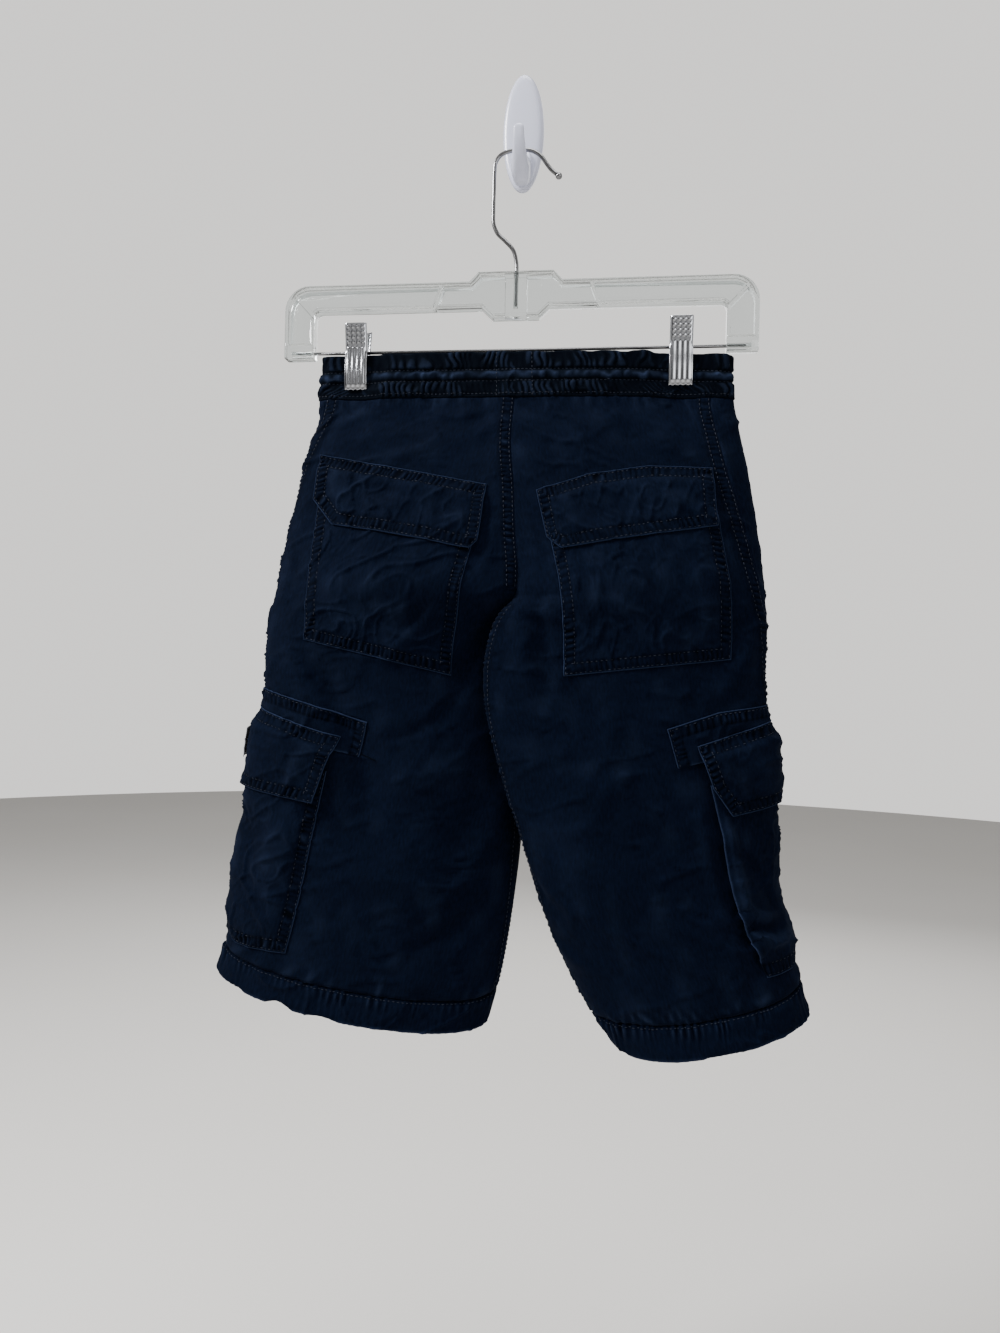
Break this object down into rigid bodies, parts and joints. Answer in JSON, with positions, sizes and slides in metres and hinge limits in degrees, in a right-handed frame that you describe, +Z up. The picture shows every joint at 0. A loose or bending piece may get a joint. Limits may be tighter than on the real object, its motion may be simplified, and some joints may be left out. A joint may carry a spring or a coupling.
{
  "type": "cargo shorts on a clip hanger and wall hook",
  "caption": "Navy twill cargo shorts with an elasticated waistband, flapped seat pockets and side cargo pockets, clipped to a clear hanger on a wall hook.",
  "frame": {"origin": "middle of the wall hook's flat back face, where it sticks to the wall", "axes": "+Y points into the wall, +X to the right of someone facing the wall, +Z up; the shorts' back faces the room at -Y"},
  "size_m": [0.3753, 0.0575, 0.625],
  "materials": {
    "navy_twill": "washed cotton twill with a soft nap",
    "navy_band": "the same twill, ruched over elastic",
    "woven_label": "plain grey woven tape",
    "clear_plastic": "clear moulded styrene",
    "steel_wire": "bright drawn steel wire",
    "chromed_sheet": "chromed pressed sheet steel",
    "white_plastic": "glossy white moulded plastic"
  },
  "bodies": {
    "root": {"back_flap_left": "navy_twill", "back_flap_right": "navy_twill", "back_left": "navy_twill", "back_pocket_left": "navy_twill", "back_pocket_right": "navy_twill", "back_right": "navy_twill", "cargo_flap_left": "navy_twill", "cargo_flap_right": "navy_twill", "cargo_label": "woven_label", "cargo_patch_left": "navy_twill", "cargo_patch_right": "navy_twill", "cargo_pocket_left": "navy_twill", "cargo_pocket_right": "navy_twill", "clip_left_room_leaf": "chromed_sheet", "clip_left_spring": "chromed_sheet", "clip_left_wall_leaf": "chromed_sheet", "clip_right_room_leaf": "chromed_sheet", "clip_right_spring": "chromed_sheet", "clip_right_wall_leaf": "chromed_sheet", "front_left": "navy_twill", "front_right": "navy_twill", "hanger_frame": "clear_plastic", "hanger_hook": "steel_wire", "hanger_rod": "steel_wire", "hem_left": "navy_twill", "hem_right": "navy_twill", "waistband": "navy_band", "wall_hook": "white_plastic"}
  },
  "joints": []
}
